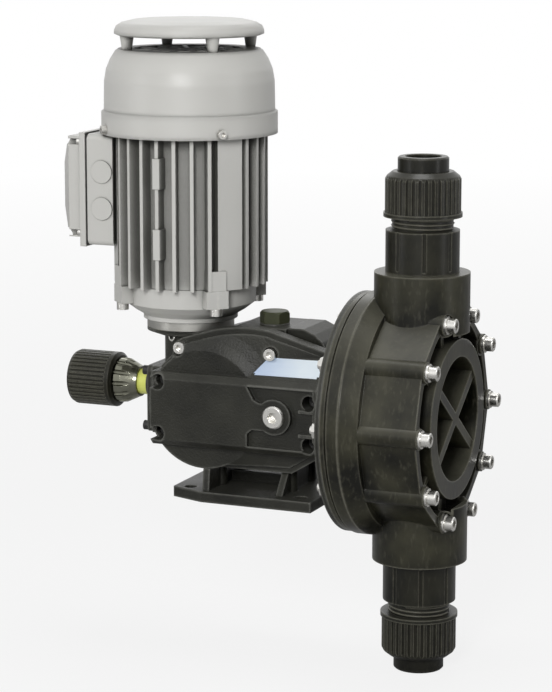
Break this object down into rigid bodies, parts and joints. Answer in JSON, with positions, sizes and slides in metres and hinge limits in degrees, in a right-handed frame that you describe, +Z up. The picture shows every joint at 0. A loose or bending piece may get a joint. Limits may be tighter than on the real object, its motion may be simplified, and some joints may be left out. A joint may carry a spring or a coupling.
{
  "type": "diaphragm_metering_pump",
  "caption": "Motor-driven diaphragm metering pump: upright finned motor on a black gearbox, big round bolted head, union-nut check valves above and below, ribbed stroke knob behind",
  "frame": {"origin": "centre of the foot plate's underside", "axes": "+X from the stroke knob to the pump head, +Y to the back, +Z up along the motor"},
  "size_m": [0.2994, 0.17, 0.4494],
  "materials": {
    "motor_paint": "light warm grey paint, semi-gloss",
    "housing_black": "charcoal black paint on casting, semi-gloss",
    "black_plastic": "moulded black plastic, satin",
    "bright_steel": "stainless steel, plain",
    "turned_steel": "turned steel",
    "chrome_sleeve": "bright plated, fluted",
    "yellow_ring": "yellow-green plastic",
    "olive_plug": "dark olive plastic",
    "bronze": "bronze, machined",
    "grey_iron": "machined iron",
    "white_fluoropolymer": "white, smooth",
    "ball_ceramic": "white, polished",
    "black_rubber": "black rubber"
  },
  "bodies": {
    "body": {"adapter_collar": "turned_steel", "backing_plate": "black_plastic", "box_gasket": "black_rubber", "box_lid": "motor_paint", "cam_shaft_bearings": "turned_steel", "cone_sleeve": "chrome_sleeve", "cover_gasket": "black_rubber", "cowl_screws": "bright_steel", "discharge_pipe_socket": "black_plastic", "discharge_socket_seal": "black_rubber", "discharge_union_nut": "black_plastic", "discharge_valve_body": "black_plastic", "discharge_valve_seat": "white_fluoropolymer", "drive_end_shield": "motor_paint", "fan_cowl": "motor_paint", "fan_end_shield": "motor_paint", "filler_plug": "olive_plug", "foot": "housing_black", "foot_screws": "bright_steel", "gearbox_housing": "housing_black", "head_bolts": "bright_steel", "head_nuts": "bright_steel", "head_washers": "bright_steel", "index_ring": "yellow_ring", "level_plug": "bright_steel", "lid_screws": "bright_steel", "motor_bearings": "turned_steel", "motor_frame": "motor_paint", "pump_head": "black_plastic", "rain_canopy": "motor_paint", "rear_cover": "housing_black", "rear_cover_screws": "bright_steel", "rod_bush": "bronze", "rod_seal": "black_rubber", "shield_bolts": "bright_steel", "side_cover": "housing_black", "side_cover_screws": "bright_steel", "stator": "grey_iron", "suction_pipe_socket": "black_plastic", "suction_socket_seal": "black_rubber", "suction_union_nut": "black_plastic", "suction_valve_body": "black_plastic", "suction_valve_seat": "white_fluoropolymer", "terminal_block": "black_plastic", "terminal_box": "motor_paint"},
    "motor_rotor": {"motor_shaft": "turned_steel", "rotor": "grey_iron", "cooling_fan": "black_plastic", "worm": "turned_steel"},
    "wheel_shaft": {"worm_wheel": "bronze", "cam_shaft": "turned_steel"},
    "plunger": {"push_yoke": "grey_iron", "push_rod": "turned_steel", "diaphragm_disc": "grey_iron", "diaphragm": "white_fluoropolymer", "return_spring": "turned_steel"},
    "adjuster_spindle": {"stroke_spindle": "bright_steel"},
    "adjuster_knob": {"stroke_knob": "black_plastic"},
    "suction_check": {"suction_valve_ball": "ball_ceramic"},
    "discharge_check": {"discharge_valve_ball": "ball_ceramic"}
  },
  "joints": [
    {"name": "motor_turn", "type": "hinge", "parent": "body", "child": "motor_rotor", "pos_m": [-0.057, 0, 0.2], "axis": [0, 0, 1], "continuous": true},
    {"name": "wheel_turn", "type": "hinge", "parent": "body", "child": "wheel_shaft", "pos_m": [-0.0295, 0, 0.065], "axis": [0, 1, 0], "continuous": true},
    {"name": "plunger_stroke", "type": "slide", "parent": "body", "child": "plunger", "axis": [1, 0, 0], "range_m": [0, 0.004], "deforming": ["return_spring", "diaphragm"]},
    {"name": "spindle_travel", "type": "slide", "parent": "body", "child": "adjuster_spindle", "axis": [-1, 0, 0], "range_m": [0, 0.004]},
    {"name": "knob_turn", "type": "hinge", "parent": "adjuster_spindle", "child": "adjuster_knob", "pos_m": [-0.13, 0, 0.073], "axis": [1, 0, 0], "range_deg": [0, 1440]},
    {"name": "suction_ball_lift", "type": "slide", "parent": "body", "child": "suction_check", "axis": [0, 0, 1], "range_m": [0, 0.004]},
    {"name": "discharge_ball_lift", "type": "slide", "parent": "body", "child": "discharge_check", "axis": [0, 0, 1], "range_m": [0, 0.004]}
  ],
  "couplings": [
    {"joint": "wheel_turn", "follows": "motor_turn", "ratio": -0.066667},
    {"joint": "spindle_travel", "follows": "knob_turn", "m_per_rad": 0.00015915}
  ]
}
